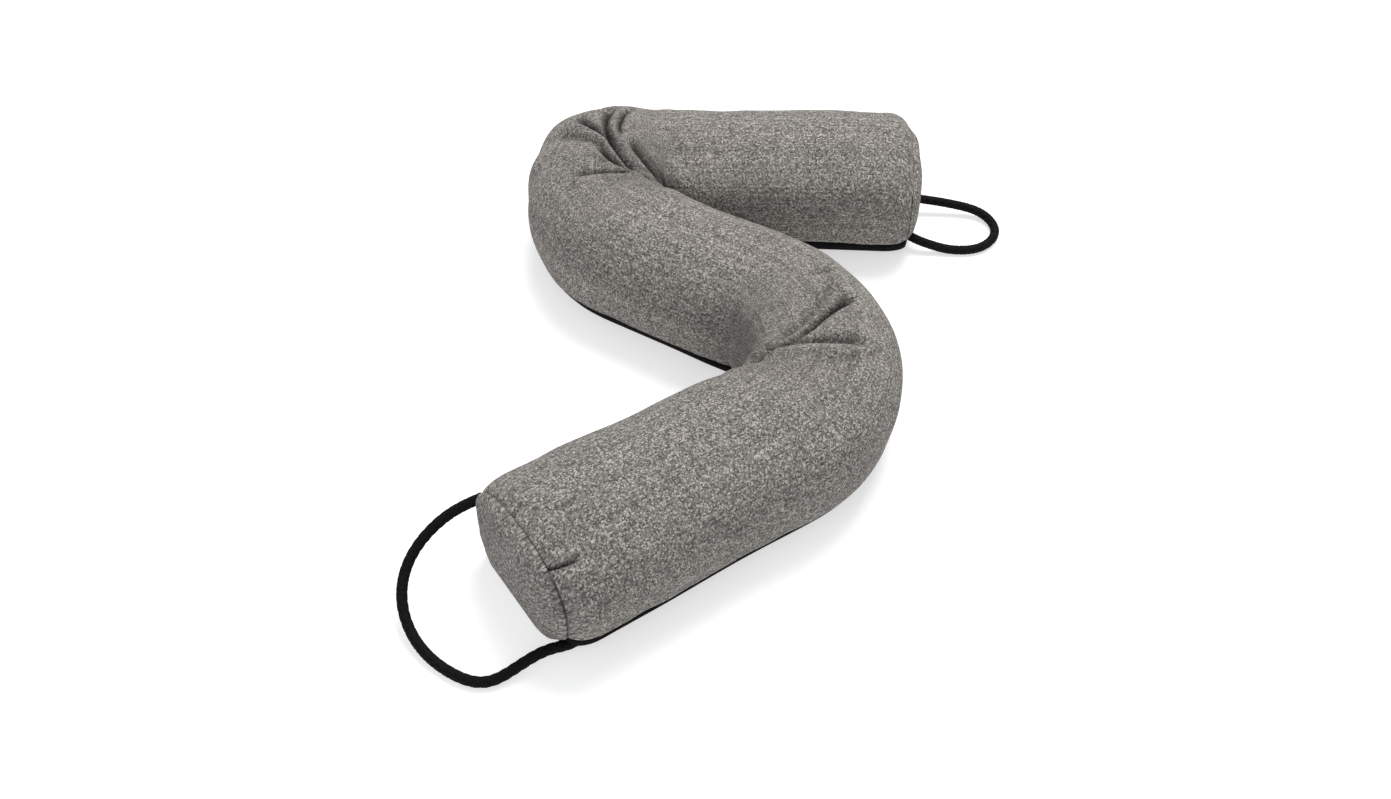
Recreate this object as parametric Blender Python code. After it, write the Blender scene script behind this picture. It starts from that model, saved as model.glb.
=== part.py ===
"""Draught excluder: a heavy filled tube of grey cloth on a black base strip, with a round cord loop at
each end, lying folded twice on a floor.

The model is in metres with +Z up. The floor is z = 0, and the origin is under the middle of the tube's
box. The tube starts at its back end, on the right, runs to the left, turns sharply towards the viewer and
back to the right, turns again and ends at the front left. Left and right of the tube are as seen walking
from the back end to the front end.
"""
import bmesh
import bpy
import numpy as np

MM = 0.001

# Driving dimensions, in millimetres and degrees
TUBE_WIDTH = 97.0
TUBE_HEIGHT = 75.0
WIDEST_AT = 38.0
ARCH_POWER = 2.05
START = (130.3, 151.8)
START_HEADING = 177.0
BEND_EASE = 26.0
SQUEEZE_KEEP = 31.0
SQUEEZE_ROOM = 9.5
SQUEEZE_BEFORE = 22.0
SQUEEZE_EASE = 30.0
STRIP_THICK = 1.5
PANEL_THICK = 1.5
SEAM_GAP = 0.3
SEAM_STEP = 0.6
PANEL_LIFT = 0.3
CORD_DIAMETER = 6.0
CAP_GAP = 0.6
INSIDE = PANEL_THICK + CAP_GAP

# The way of the tube's middle line: a straight run, then an arc; a turn to the left is plus
WAY = (
    # run, radius, turn
    (164.0, 42.0, 152.0),
    (95.5, 66.6, -114.7),
    (162.5, 66.6, 0.0),
)

# How far the tube's left side, right side and top reach along it, as parts of the plain section's
SWELL = (
    # at, left, right, top
    (0.0, 0.99, 0.99, 1.0),
    (110.0, 0.99, 0.98, 1.0),
    (145.0, 0.99, 0.96, 0.98),
    (168.0, 0.99, 0.96, 0.98),
    (189.0, 0.99, 1.17, 1.08),
    (204.0, 0.99, 1.28, 1.11),
    (216.0, 0.99, 1.16, 1.06),
    (231.0, 0.99, 1.04, 1.03),
    (250.0, 0.99, 0.97, 1.03),
    (320.0, 0.96, 0.96, 1.0),
    (430.0, 1.02, 1.02, 1.0),
    (500.0, 1.065, 1.05, 1.0),
    (560.0, 1.03, 1.07, 1.0),
    (620.0, 1.05, 1.11, 1.03),
    (677.0, 1.06, 1.15, 1.03),
)

# Half the width of the flat under the tube, to the left and to the right of the middle line
FOOT = (
    # at, left, right
    (0.0, 30.0, 30.0),
    (600.0, 30.0, 30.0),
    (677.0, 28.0, 42.0),
)

# Main creases and ridges of the two bends. Round the tube, 0 is a bend's inner side, 90 the top and 180
# the outer side; the line of a crease is at + lean * t + curl * t * t, with t = 0 on top and 1 inside
CREASES = (
    # inner side, at, lean, curl, half width, depth, round from, round to
    (1, 206.0, 85.0, 110.0, 10.0, 8.0, 50.0, 115.0),
    (1, 199.0, 20.0, 0.0, 10.0, 3.0, 25.0, 60.0),
    (1, 233.0, -5.0, 0.0, 7.0, 4.5, 50.0, 95.0),
    (-1, 421.0, 40.0, 0.0, 9.0, 4.5, 60.0, 112.0),
    (-1, 438.0, 62.0, 0.0, 8.0, 7.0, 40.0, 108.0),
    (-1, 448.0, 5.0, 0.0, 7.0, 3.0, 60.0, 118.0),
    (-1, 458.0, 17.0, 0.0, 7.0, -2.0, 45.0, 115.0),
)
CREASE_FADE = 25.0

# The rounding of the cloth into the seam at each end, and how far the cap there stands out
ENDS = {
    # rounding along, drop on the left, on the right and on top, crown of the cap
    "back": (16.0, 7.0, 7.0, 11.0, 6.0),
    "front": (17.0, 10.0, 3.0, 5.0, 9.0),
}
CAP_MIDDLE = 36.0
CAP_RINGS = (0.93, 0.78, 0.5, 0.2)

# How far the black strip turns up the tube's left and right sides
STRIP_RISE = (
    # at, left, right
    (0.0, 15.0, 6.0),
    (200.0, 15.0, 6.0),
    (250.0, 8.0, 15.0),
    (350.0, 8.0, 15.0),
    (420.0, 8.0, 6.0),
    (560.0, 9.0, 6.0),
    (677.0, 9.0, 6.0),
)

# Rings along the tube, far apart in the runs and close in the bends, and points round each ring
RINGS_IN_RUN = (11, 9, 12)
RINGS_IN_BEND = (36, 26)
BEND_MARGIN = 14.0
END_CROWD = 1.5
ARCH_STEPS = 22
SIDE_STEPS = 3

# The two cord loops' routes, chosen by hand: out of the seam, down, round on the floor and back
LOOP_BACK = (
    # x, y, z
    (136.0, 162.4, 11.0),
    (154.6, 160.9, 9.0),
    (168.6, 158.9, 7.0),
    (181.6, 155.9, 5.0),
    (189.6, 146.9, 3.4),
    (191.6, 135.9, 3.1),
    (185.6, 124.9, 3.1),
    (175.6, 117.9, 3.1),
    (165.6, 116.9, 3.1),
    (153.6, 117.9, 3.1),
    (143.6, 119.9, 5.5),
    (132.4, 119.4, 8.0),
)
LOOP_FRONT = (
    # x, y, z
    (-137.7, -128.9, 41.0),
    (-149.4, -132.1, 37.0),
    (-161.4, -140.6, 31.0),
    (-171.4, -151.6, 24.0),
    (-176.4, -167.6, 16.0),
    (-173.4, -183.6, 9.0),
    (-164.4, -198.6, 4.5),
    (-151.4, -210.6, 3.1),
    (-135.4, -219.6, 3.1),
    (-124.4, -221.6, 3.1),
    (-111.4, -215.6, 3.2),
    (-102.4, -210.1, 4.0),
    (-94.9, -205.9, 5.0),
    (-87.9, -204.2, 5.0),
    (-81.4, -204.0, 3.6),
)
CORD_POINTS = 45
CORD_RELAXED = 5


def smooth(x):
    """0 below 0, 1 above 1, and between them a soft step."""
    x = np.clip(x, 0.0, 1.0)
    return x * x * (3.0 - 2.0 * x)


def bends():
    """Where each bend starts and ends along the tube and its turn, and the tube's length."""
    at = 0.0
    found = []
    for run, radius, turn in WAY:
        length = radius * abs(np.radians(turn))
        found.append((at + run, at + run + length, turn))
        at += run + length
    return found[:-1], at


BENDS, LENGTH = bends()


def lay(at):
    """Place and heading of the middle line at each distance: the curvature, eased in and out of each
    bend, is added up to the heading, and the heading's steps are added up to the place."""
    fine = np.linspace(-20.0, LENGTH + 20.0, 1473)
    step = fine[1] - fine[0]
    curve = np.zeros_like(fine)
    for start, end, turn in BENDS:
        rise = smooth(0.5 + (fine - start) / BEND_EASE)
        fall = smooth(0.5 + (fine - end) / BEND_EASE)
        curve += np.radians(turn) / (end - start) * (rise - fall)
    heading = np.radians(START_HEADING) + np.cumsum(curve) * step
    x = np.cumsum(np.cos(heading)) * step
    y = np.cumsum(np.sin(heading)) * step
    x += START[0] - np.interp(0.0, fine, x)
    y += START[1] - np.interp(0.0, fine, y)
    return np.interp(at, fine, x), np.interp(at, fine, y), np.interp(at, fine, heading)


def column(table, at, index):
    """One column of a table read at the given distances, with soft changes between its rows."""
    rows = np.array(table)
    row = np.clip(np.searchsorted(rows[:, 0], at, side="right") - 1, 0, len(rows) - 2)
    low, high = rows[row], rows[row + 1]
    part = smooth((at - low[..., 0]) / (high[..., 0] - low[..., 0]))
    return low[..., index] + (high[..., index] - low[..., index]) * part


def outline(at, angle):
    """The plain section at angles round it: -90 is the left edge of the flat, 0 the widest place on the
    left, 90 the top, 180 the widest on the right and 270 the flat's right edge. The sides are quarter
    ellipses, and the arch over them is a full superellipse."""
    across = np.cos(np.radians(angle))
    up = np.sin(np.radians(angle))
    half = TUBE_WIDTH / 2.0
    arch_u = half * np.sign(across) * np.abs(across) ** (2.0 / ARCH_POWER)
    arch_v = WIDEST_AT + (TUBE_HEIGHT - WIDEST_AT) * np.abs(up) ** (2.0 / ARCH_POWER)
    hand = np.where(angle > 90.0, -1.0, 1.0)
    foot = np.where(angle > 90.0, column(FOOT, at, 2), column(FOOT, at, 1))
    side_u = hand * (foot + (half - foot) * np.abs(across))
    side_v = WIDEST_AT * (1.0 + up)
    arch = (angle >= 0.0) & (angle <= 180.0)
    return np.where(arch, arch_u, side_u), np.where(arch, arch_v, side_v)


def squeeze(u, at):
    """In a bend the inner half of the tube is pressed together, so that it stays short of the pivot."""
    for start, end, turn in BENDS:
        inner = np.sign(turn)
        amount = smooth((at - start + SQUEEZE_BEFORE) / SQUEEZE_EASE)
        amount = amount * smooth((end + SQUEEZE_BEFORE - at) / SQUEEZE_EASE)
        over = np.maximum(u * inner - SQUEEZE_KEEP, 0.0)
        pressed = inner * (SQUEEZE_KEEP + SQUEEZE_ROOM * np.tanh(over / SQUEEZE_ROOM))
        u = np.where(over > 0.0, u + (pressed - u) * amount, u)
    return u


def crease_depth(at, angle):
    """How deep the creases cut at a place: soft troughs across the tube, and ridges where it is minus."""
    depth = np.zeros(np.broadcast(at, angle).shape)
    for side, start, lean, curl, half_width, deep, first, last in CREASES:
        turned = angle if side > 0 else 180.0 - angle
        t = 1.0 - turned / 90.0
        middle = start + lean * t + curl * t * t
        fade = smooth(1.0 + (turned - first) / CREASE_FADE) * smooth(1.0 + (last - turned) / CREASE_FADE)
        depth += deep * fade * np.exp(-((at - middle) / half_width) ** 2)
    return depth


def end_drop(at):
    """How far the left side, the right side and the top are drawn in towards the seam at each end: a
    quarter round."""
    drops = [np.zeros_like(at), np.zeros_like(at), np.zeros_like(at)]
    for name, distance in (("back", at), ("front", LENGTH - at)):
        part = np.clip(1.0 - (distance - INSIDE) / ENDS[name][0], 0.0, 1.0)
        curve = 1.0 - np.sqrt(1.0 - part ** 2)
        drops = [drop + most * curve for drop, most in zip(drops, ENDS[name][1:4])]
    return drops


def shape(at, angle):
    """The section without its creases: swollen, drawn in at the ends and pressed in the bends."""
    u, v = outline(at, angle)
    left, right, top = end_drop(at)
    swollen = np.where(u > 0.0, column(SWELL, at, 1), column(SWELL, at, 2))
    u = u * swollen * (1.0 - np.where(u > 0.0, left, right) / (TUBE_WIDTH / 2.0))
    v = v * column(SWELL, at, 3) * (1.0 - top / TUBE_HEIGHT)
    return squeeze(u, at), v


def skin(at, angle, inset=0.0):
    """The tube's surface, or one inset from it, as u (to the left) and v (up). The creases and the inset
    move each point along the section's inward normal."""
    at = np.asarray(at, float)[:, None]
    angle = np.broadcast_to(np.asarray(angle, float), (len(at), np.shape(angle)[-1]))
    u, v = shape(at, angle)
    before_u, before_v = shape(at, np.clip(angle - 0.5, -90.0, 270.0))
    after_u, after_v = shape(at, np.clip(angle + 0.5, -90.0, 270.0))
    along_u, along_v = after_u - before_u, after_v - before_v
    size = np.hypot(along_u, along_v)
    depth = crease_depth(at, angle) + inset
    return u - depth * along_v / size, v + depth * along_u / size


def place(at, u, v, out=0.0):
    """World points, in metres, of section points at distances along the tube, moved out along it."""
    x, y, heading = lay(np.asarray(at, float)[:, None])
    x = x - np.sin(heading) * u + np.cos(heading) * out
    y = y + np.cos(heading) * u + np.sin(heading) * out
    return np.stack([x, y, np.broadcast_to(v, u.shape)], -1) * MM


def ring_marks():
    """Distances of the rings along the tube, from just inside one end cap to just inside the other: far
    apart in the runs, close in the bends, and closer again towards the ends."""
    near = BENDS[0][0] - BEND_MARGIN - INSIDE
    marks = list(INSIDE + near * np.linspace(0.0, 1.0, RINGS_IN_RUN[0]) ** END_CROWD)
    for number, (start, end, _) in enumerate(BENDS):
        if number > 0:
            marks += list(np.linspace(marks[-1], start - BEND_MARGIN, RINGS_IN_RUN[number])[1:])
        marks += list(np.linspace(marks[-1], end + BEND_MARGIN, RINGS_IN_BEND[number])[1:])
    left = LENGTH - INSIDE - marks[-1]
    part = np.linspace(1.0, 0.0, RINGS_IN_RUN[-1])[1:]
    marks += list(marks[-1] + left * (1.0 - part ** END_CROWD))
    return np.array(marks)


def rise_angle(rise):
    """The angle at which the section's side reaches a height."""
    return np.degrees(np.arcsin(rise / WIDEST_AT - 1.0))


def cover_angles(at):
    """Angles round the cover at each ring: under the strip, over its edge, up the side and over."""
    left, right = column(STRIP_RISE, at, 1), column(STRIP_RISE, at, 2)
    arch = np.linspace(0.0, 180.0, ARCH_STEPS + 1)
    half = []
    for rise in (left, right):
        low = rise_angle(rise + SEAM_GAP + 0.1)
        high = rise_angle(rise + SEAM_GAP + SEAM_STEP)
        part = np.linspace(0.0, 1.0, SIDE_STEPS + 1)[:-1]
        side = high[:, None] * (1.0 - part)
        half.append(np.column_stack([np.full(len(at), -90.0), low, side]))
    middle = np.broadcast_to(arch, (len(at), len(arch)))
    return np.hstack([half[0], middle, 180.0 - half[1][:, ::-1]])


def cover_inset(columns):
    """The cover lies a strip's thickness inside the tube's surface where the strip covers it."""
    inset = np.zeros(columns)
    inset[[0, 1, -2, -1]] = STRIP_THICK + SEAM_GAP
    return inset


def domed(ring_u, ring_v, end, inset, sizes):
    """Rings of a dome over one end: the given section made smaller about a middle point, and moved out by
    the square root of what is left of the radius."""
    at, sign = (0.0, -1.0) if end == "back" else (LENGTH, 1.0)
    rings = []
    for size in sizes:
        out = ENDS[end][4] * np.sqrt(1.0 - size ** 2) - inset
        rings.append(place([at], ring_u * size, CAP_MIDDLE + (ring_v - CAP_MIDDLE) * size, sign * out)[0])
    return rings


def closed_loft(name, rings, material, hollow=False):
    """One closed body through rings of points: quads between the rings, and on each end a fan round its
    middle, or for a channel a strip of quads between its outer and inner side."""
    rings = np.array(rings)
    count, around, _ = rings.shape
    points = rings.reshape(-1, 3)
    corner = np.arange(count * around).reshape(count, around)
    side = [corner[:-1], np.roll(corner[:-1], -1, 1), np.roll(corner[1:], -1, 1), corner[1:]]
    faces = np.stack(side, -1).reshape(-1, 4).tolist()
    for ring in (corner[0], corner[-1]):
        if hollow:
            outer, inner = ring[:around // 2], ring[around // 2:][::-1]
            faces += np.stack([outer[:-1], outer[1:], inner[1:], inner[:-1]], -1).tolist()
        else:
            faces += [(len(points), a, b) for a, b in zip(ring.tolist(), np.roll(ring, -1).tolist())]
            points = np.vstack([points, points[ring].mean(axis=0)])
    mesh = bpy.data.meshes.new(name)
    mesh.from_pydata(points.tolist(), [], faces)
    shell = bmesh.new()
    shell.from_mesh(mesh)
    bmesh.ops.recalc_face_normals(shell, faces=shell.faces)
    shell.to_mesh(mesh)
    shell.free()
    mesh.materials.append(material)
    mesh.shade_smooth()
    thing = bpy.data.objects.new(name, mesh)
    bpy.context.collection.objects.link(thing)
    return thing


def plain_material(name, colour, roughness):
    material = bpy.data.materials.new(name)
    material.use_nodes = True
    shader = material.node_tree.nodes["Principled BSDF"]
    shader.inputs["Base Color"].default_value = (*colour, 1.0)
    shader.inputs["Roughness"].default_value = roughness
    return material


def make_cover(material):
    """The grey tube with its filling, closed by a dome under each end's cap."""
    at = ring_marks()
    angle = cover_angles(at)
    u, v = skin(at, angle, cover_inset(angle.shape[1]))
    back = domed(u[:1], v[:1], "back", INSIDE, CAP_RINGS[::-1])
    front = domed(u[-1:], v[-1:], "front", INSIDE, CAP_RINGS)
    return closed_loft("cover", back + list(place(at, u, v)) + front, material)


def make_strip(material):
    """The black strip: flat on the floor, its edges turned up the tube's sides."""
    at = ring_marks()
    left = rise_angle(column(STRIP_RISE, at, 1))
    right = rise_angle(column(STRIP_RISE, at, 2))
    flat = np.full(len(at), -90.0)
    left_half = [left, (left + flat) / 2.0, flat]
    right_half = [180.0 - flat, 180.0 - (right + flat) / 2.0, 180.0 - right]
    angle = np.column_stack(left_half + right_half)
    outer = place(at, *skin(at, angle))
    inner = place(at, *skin(at, angle, STRIP_THICK))
    return closed_loft("base_panel", np.hstack([outer, inner[:, ::-1]]), material, hollow=True)


def make_end(end, material):
    """A grey cap over one end: an outer dome and an inner one, joined by the rim that meets the seam."""
    at = np.array([INSIDE if end == "back" else LENGTH - INSIDE])
    angle = cover_angles(at)
    u, v = shape(at[:, None], angle)
    v = PANEL_LIFT + v * (1.0 - PANEL_LIFT / TUBE_HEIGHT)
    sizes = (1.0,) + CAP_RINGS
    inner = domed(u, v, end, PANEL_THICK, sizes)
    outer = domed(u, v, end, 0.0, sizes)
    return closed_loft("end_panel_" + end, inner[::-1] + outer, material)


def smooth_route(points, count):
    """Points at even distances on a Catmull-Rom curve by the hand-set ones: each stretch is the cubic
    that leaves and reaches its points along the line between their neighbours. At the end the points
    are moved a few times towards their neighbours' middle, which takes out small kinks."""
    given = np.array(points)
    padded = np.vstack([2.0 * given[0] - given[1], given, 2.0 * given[-1] - given[-2]])
    t = np.linspace(0.0, 1.0, 20, endpoint=False)[:, None]
    curve = []
    for a, b, c, d in zip(padded[:-3], padded[1:-2], padded[2:-1], padded[3:]):
        bend = (2.0 * a - 5.0 * b + 4.0 * c - d) * t ** 2 + (3.0 * b - a - 3.0 * c + d) * t ** 3
        curve.append(0.5 * (2.0 * b + (c - a) * t + bend))
    curve = np.vstack(curve + [given[-1:]])
    route = evenly(curve, count)
    for _ in range(CORD_RELAXED):
        route[1:-1] = 0.5 * route[1:-1] + 0.25 * (route[:-2] + route[2:])
    route = evenly(route, count)
    route[:, 2] = np.maximum(route[:, 2], CORD_DIAMETER / 2.0 + 0.05)
    return route


def evenly(curve, count):
    """Points at even distances on a line of many points."""
    along = np.concatenate([[0.0], np.cumsum(np.linalg.norm(np.diff(curve, axis=0), axis=1))])
    even = np.linspace(0.0, along[-1], count)
    return np.column_stack([np.interp(even, along, curve[:, axis]) for axis in range(3)])


def make_cord(name, points, material):
    """A round cord along a route: a poly curve with a bevel and filled caps."""
    route = smooth_route(points, CORD_POINTS) * MM
    curve = bpy.data.curves.new(name, "CURVE")
    curve.dimensions = "3D"
    curve.bevel_depth = CORD_DIAMETER / 2.0 * MM
    curve.bevel_resolution = 2
    curve.use_fill_caps = True
    spline = curve.splines.new("POLY")
    spline.points.add(len(route) - 1)
    for point, spot in zip(spline.points, route):
        point.co = (*spot, 1.0)
    curve.materials.append(material)
    thing = bpy.data.objects.new(name, curve)
    bpy.context.collection.objects.link(thing)
    return thing


def main():
    for thing in list(bpy.data.objects):
        bpy.data.objects.remove(thing, do_unlink=True)
    grey = plain_material("grey_cloth", (0.24, 0.22, 0.20), 0.95)
    black = plain_material("black_cloth", (0.012, 0.012, 0.013), 0.9)
    cord = plain_material("black_cord", (0.010, 0.010, 0.011), 0.8)
    make_cover(grey)
    make_strip(black)
    make_end("back", grey)
    make_end("front", grey)
    make_cord("loop_back", LOOP_BACK, cord)
    make_cord("loop_front", LOOP_FRONT, cord)


main()
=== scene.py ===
# %% [markdown]
# # A draught excluder
# This is a heavy tube of grey linen-look cloth, filled and closed by a round cap at each end, with a
# black strip sewn under it and a cord loop at each end. It lies folded in a Z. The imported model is
# loaded first: its solids are the frame that every new piece here has to fit.

# %% Load the frame
import bpy
import numpy as np
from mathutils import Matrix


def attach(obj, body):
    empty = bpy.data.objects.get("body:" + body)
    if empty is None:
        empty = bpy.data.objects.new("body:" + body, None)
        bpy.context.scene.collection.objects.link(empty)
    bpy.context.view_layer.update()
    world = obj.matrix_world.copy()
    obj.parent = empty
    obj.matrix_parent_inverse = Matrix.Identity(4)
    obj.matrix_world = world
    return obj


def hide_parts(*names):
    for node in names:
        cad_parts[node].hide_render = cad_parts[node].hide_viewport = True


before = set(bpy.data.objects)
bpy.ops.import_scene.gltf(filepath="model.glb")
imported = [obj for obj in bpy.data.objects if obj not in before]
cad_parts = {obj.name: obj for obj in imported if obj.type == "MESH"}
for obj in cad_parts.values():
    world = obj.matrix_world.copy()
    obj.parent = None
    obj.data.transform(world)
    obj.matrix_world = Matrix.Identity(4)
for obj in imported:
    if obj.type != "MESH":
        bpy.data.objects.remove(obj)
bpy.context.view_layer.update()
MM = 0.001

# %% [markdown]
# ## The camera
# The camera stands where the photographer stood: 48 degrees above the floor, a bit under 0.9 m away,
# looking along +Y. Its place was found by laying the model's outline over the outline in the photo.
# A camera turned only about X keeps upright edges symmetrical, so it needs one angle and no shift.

# %% Place the camera
ELEVATION = 48.0
EYE_HEIGHT = 0.6607
AIM = (-0.0164, -0.0172)
SENSOR_WIDTH = 36.0
PHOTO_WIDTH, FOCAL_LENGTH = 1391.0, 1431.6  # both in pixels of the photo

camera_data = bpy.data.cameras.new("photo_camera")
camera_data.sensor_width = SENSOR_WIDTH
camera_data.lens = FOCAL_LENGTH / PHOTO_WIDTH * SENSOR_WIDTH
camera = bpy.data.objects.new("photo_camera", camera_data)
bpy.context.collection.objects.link(camera)
camera.location = (AIM[0], AIM[1] - EYE_HEIGHT / np.tan(np.radians(ELEVATION)), EYE_HEIGHT)
camera.rotation_euler = (np.radians(90.0 - ELEVATION), 0.0, 0.0)
bpy.context.scene.camera = camera
print("lens, mm:", round(camera_data.lens, 2), "camera at", [round(x, 3) for x in camera.location])

# %% [markdown]
# ## Meshes from arrays
# Each new piece is a grid of points: rings of points, one after another. Numpy works out all the points
# at once, and one helper joins neighbouring points with quads. The same helper stores a UV map in
# metres of cloth, so that the weave follows the cloth round every bend.

# %% A helper that makes a closed piece from rings
def ring_piece(name, rings, uv):
    """Quads between neighbouring rings, each ring closed on itself, and a fan of triangles round the
    middle of the first and last ring. rings is (rings, around, 3) in metres, uv is (rings, around, 2)."""
    count, around, _ = rings.shape
    corner = np.arange(count * around).reshape(count, around)
    after = np.roll(corner, -1, 1)
    quads = np.stack([corner[:-1], after[:-1], after[1:], corner[1:]], -1).reshape(-1, 4)
    middles = np.array([rings[0].mean(0), rings[-1].mean(0)])
    middle_uv = np.array([uv[0].mean(0), uv[-1].mean(0)])
    total = count * around
    first = np.stack([np.full(around, total), after[0], corner[0]], -1)
    last = np.stack([np.full(around, total + 1), corner[-1], after[-1]], -1)
    points = np.vstack([rings.reshape(-1, 3), middles])
    faces = quads.tolist() + first.tolist() + last.tolist()
    mesh = bpy.data.meshes.new(name)
    mesh.from_pydata(points.tolist(), [], faces)
    flat_uv = np.vstack([uv.reshape(-1, 2), middle_uv])
    corner_of_loop = np.empty(len(mesh.loops), int)
    mesh.loops.foreach_get("vertex_index", corner_of_loop)
    mesh.uv_layers.new(name="cloth").data.foreach_set("uv", flat_uv[corner_of_loop].ravel())
    mesh.update()
    if signed_volume(points, np.array(quads)) < 0.0:
        mesh.flip_normals()
    mesh.shade_smooth()
    piece = bpy.data.objects.new(name, mesh)
    bpy.context.collection.objects.link(piece)
    return piece


def signed_volume(points, quads):
    """The volume of the pyramids from the middle to each quad: plus when the faces point outwards."""
    a, b, c, d = (points[quads[:, k]] - points.mean(0) for k in range(4))
    return float((np.cross(b - a, c - a) * a + np.cross(c - a, d - a) * a).sum() / 6.0)

# %% [markdown]
# ## The cord loops
# A thin braided cord leaves the seam at each end, falls to the floor and comes back to the seam. The
# routes follow the frame's plain cords, as a smooth curve through given points, and their ends run on
# into the seam and under the tube, where they are hidden. The cord is a mesh tube rather than a bevelled
# curve, because its braid is a real relief here: two sets of strands wind round it in opposite
# directions.

# %% The routes of the two loops
CORD_DIAMETER = 6.0
ROUTE_BACK = (
    (131.5, 162.6, 12.5), (136.0, 162.4, 11.0), (154.6, 160.9, 9.0), (168.6, 158.9, 7.0),
    (181.6, 155.9, 5.0), (189.6, 146.9, 3.4), (191.6, 135.9, 3.1), (185.6, 124.9, 3.1),
    (175.6, 117.9, 3.1), (165.6, 116.9, 3.1), (153.6, 117.9, 3.1), (143.6, 119.6, 6.2),
    (134.5, 120.6, 8.6), (129.0, 124.5, 9.5), (125.0, 130.0, 9.5),
)
ROUTE_FRONT = (
    (-133.0, -127.5, 42.5), (-137.7, -128.9, 41.0), (-149.4, -132.1, 37.0), (-161.4, -140.6, 31.0),
    (-171.4, -151.6, 24.0), (-176.4, -167.6, 16.0), (-173.4, -183.6, 9.0), (-164.4, -198.6, 4.5),
    (-151.4, -210.6, 3.1), (-135.4, -219.6, 3.1), (-124.4, -221.6, 3.1), (-113.5, -213.5, 4.5),
    (-105.5, -209.0, 7.0), (-99.5, -205.8, 9.5), (-94.0, -203.4, 11.5), (-89.5, -202.2, 11.5),
    (-85.8, -201.2, 9.0), (-82.5, -200.0, 6.0), (-79.5, -197.0, 3.8), (-77.5, -191.5, 3.4),
)
COARSE_POINTS, COARSE_PASSES, FINE_PASSES = 45, 5, 60
ROUTE_STEP = 0.55
LIFT = 0.05  # mm that the cord, without its strands, stays above the floor


def evenly(curve, count):
    """Points at even distances on a line of many points, and those distances."""
    along = np.concatenate([[0.0], np.cumsum(np.linalg.norm(np.diff(curve, axis=0), axis=1))])
    even = np.linspace(0.0, along[-1], count)
    return np.column_stack([np.interp(even, along, curve[:, axis]) for axis in range(3)]), even


def relaxed(line, passes):
    """The line after each inner point has moved halfway to its neighbours' middle, passes times over."""
    for _ in range(passes):
        line[1:-1] = 0.5 * line[1:-1] + 0.25 * (line[:-2] + line[2:])
    return line


def smooth_route(points):
    """Even points on a Catmull-Rom curve: each stretch is the cubic that leaves and reaches its given
    points along the line between their neighbours. Relaxing a coarse row of its points takes out small
    kinks, and relaxing the fine row rounds the corners of the coarse one."""
    given = np.array(points)
    padded = np.vstack([2.0 * given[0] - given[1], given, 2.0 * given[-1] - given[-2]])
    t = np.linspace(0.0, 1.0, 20, endpoint=False)[:, None]
    curve = []
    for a, b, c, d in zip(padded[:-3], padded[1:-2], padded[2:-1], padded[3:]):
        bend = (2.0 * a - 5.0 * b + 4.0 * c - d) * t ** 2 + (3.0 * b - a - 3.0 * c + d) * t ** 3
        curve.append(0.5 * (2.0 * b + (c - a) * t + bend))
    coarse, _ = evenly(np.vstack(curve + [given[-1:]]), COARSE_POINTS)
    coarse = relaxed(coarse, COARSE_PASSES)
    _, along = evenly(coarse, COARSE_POINTS)
    route, even = evenly(coarse, int(along[-1] / ROUTE_STEP) + 1)
    route = relaxed(route, FINE_PASSES)
    route[:, 2] = np.maximum(route[:, 2], CORD_DIAMETER / 2.0 + LIFT)
    return route, even


print("straight from end to end, mm:",
      [round(float(np.linalg.norm(np.subtract(r[0], r[-1]))), 1) for r in (ROUTE_BACK, ROUTE_FRONT)])

# %% The braided tube round a route
BRAID_PITCH = 5.5
BRAID_STRANDS = 6
BRAID_TOP, BRAID_GROOVE, BRAID_ROUND = 0.15, 1.0857, 0.8
CORD_SIDES = 24
FLOOR_GAP = 0.02  # mm: strands that would reach lower are cut flat here


def frames_along(route):
    """Two directions across the route at each point: sideways, level with the floor, and upwards."""
    along = np.gradient(route, axis=0)
    along /= np.linalg.norm(along, axis=1, keepdims=True)
    side = np.cross(along, [0.0, 0.0, 1.0])
    side /= np.linalg.norm(side, axis=1, keepdims=True)
    return side, np.cross(side, along)


def make_cord(name, points):
    """A tube whose radius is half the diameter and a little more on the strands, and less in the grooves
    between them: how far a point stands out is the larger of two ribbed waves that wind round the cord,
    one to the left and one to the right."""
    route, even = smooth_route(points)
    side, up = frames_along(route)
    turn = np.linspace(0.0, 1.0, CORD_SIDES, endpoint=False)
    lean = even[:, None] / BRAID_PITCH
    one = np.abs(np.sin(np.pi * (BRAID_STRANDS * turn + lean)))
    two = np.abs(np.sin(np.pi * (BRAID_STRANDS * turn - lean)))
    groove = BRAID_GROOVE * (1.0 - np.maximum(one, two) ** BRAID_ROUND)
    radius = CORD_DIAMETER / 2.0 + BRAID_TOP - groove
    angle = 2.0 * np.pi * turn
    ring = np.cos(angle)[:, None] * side[:, None] + np.sin(angle)[:, None] * up[:, None]
    rings = (route[:, None] + radius[..., None] * ring) * MM
    rings[..., 2] = np.maximum(rings[..., 2], FLOOR_GAP * MM)
    uv = np.stack(np.broadcast_arrays(even[:, None] * MM, turn * CORD_DIAMETER * np.pi * MM), -1)
    piece = ring_piece(name, rings, uv)
    print(name, "length, mm:", round(float(even[-1]), 1), "quads:", len(piece.data.polygons))
    return piece, route * MM, float(even[-1]) * MM


cord_back, route_back, length_back = make_cord("cord_back", ROUTE_BACK)
cord_front, route_front, length_front = make_cord("cord_front", ROUTE_FRONT)
for cord, node, route, length in (
    (cord_back, "loop_back", route_back, length_back),
    (cord_front, "loop_front", route_front, length_front),
):
    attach(cord, "root")
    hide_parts(node)

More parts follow.
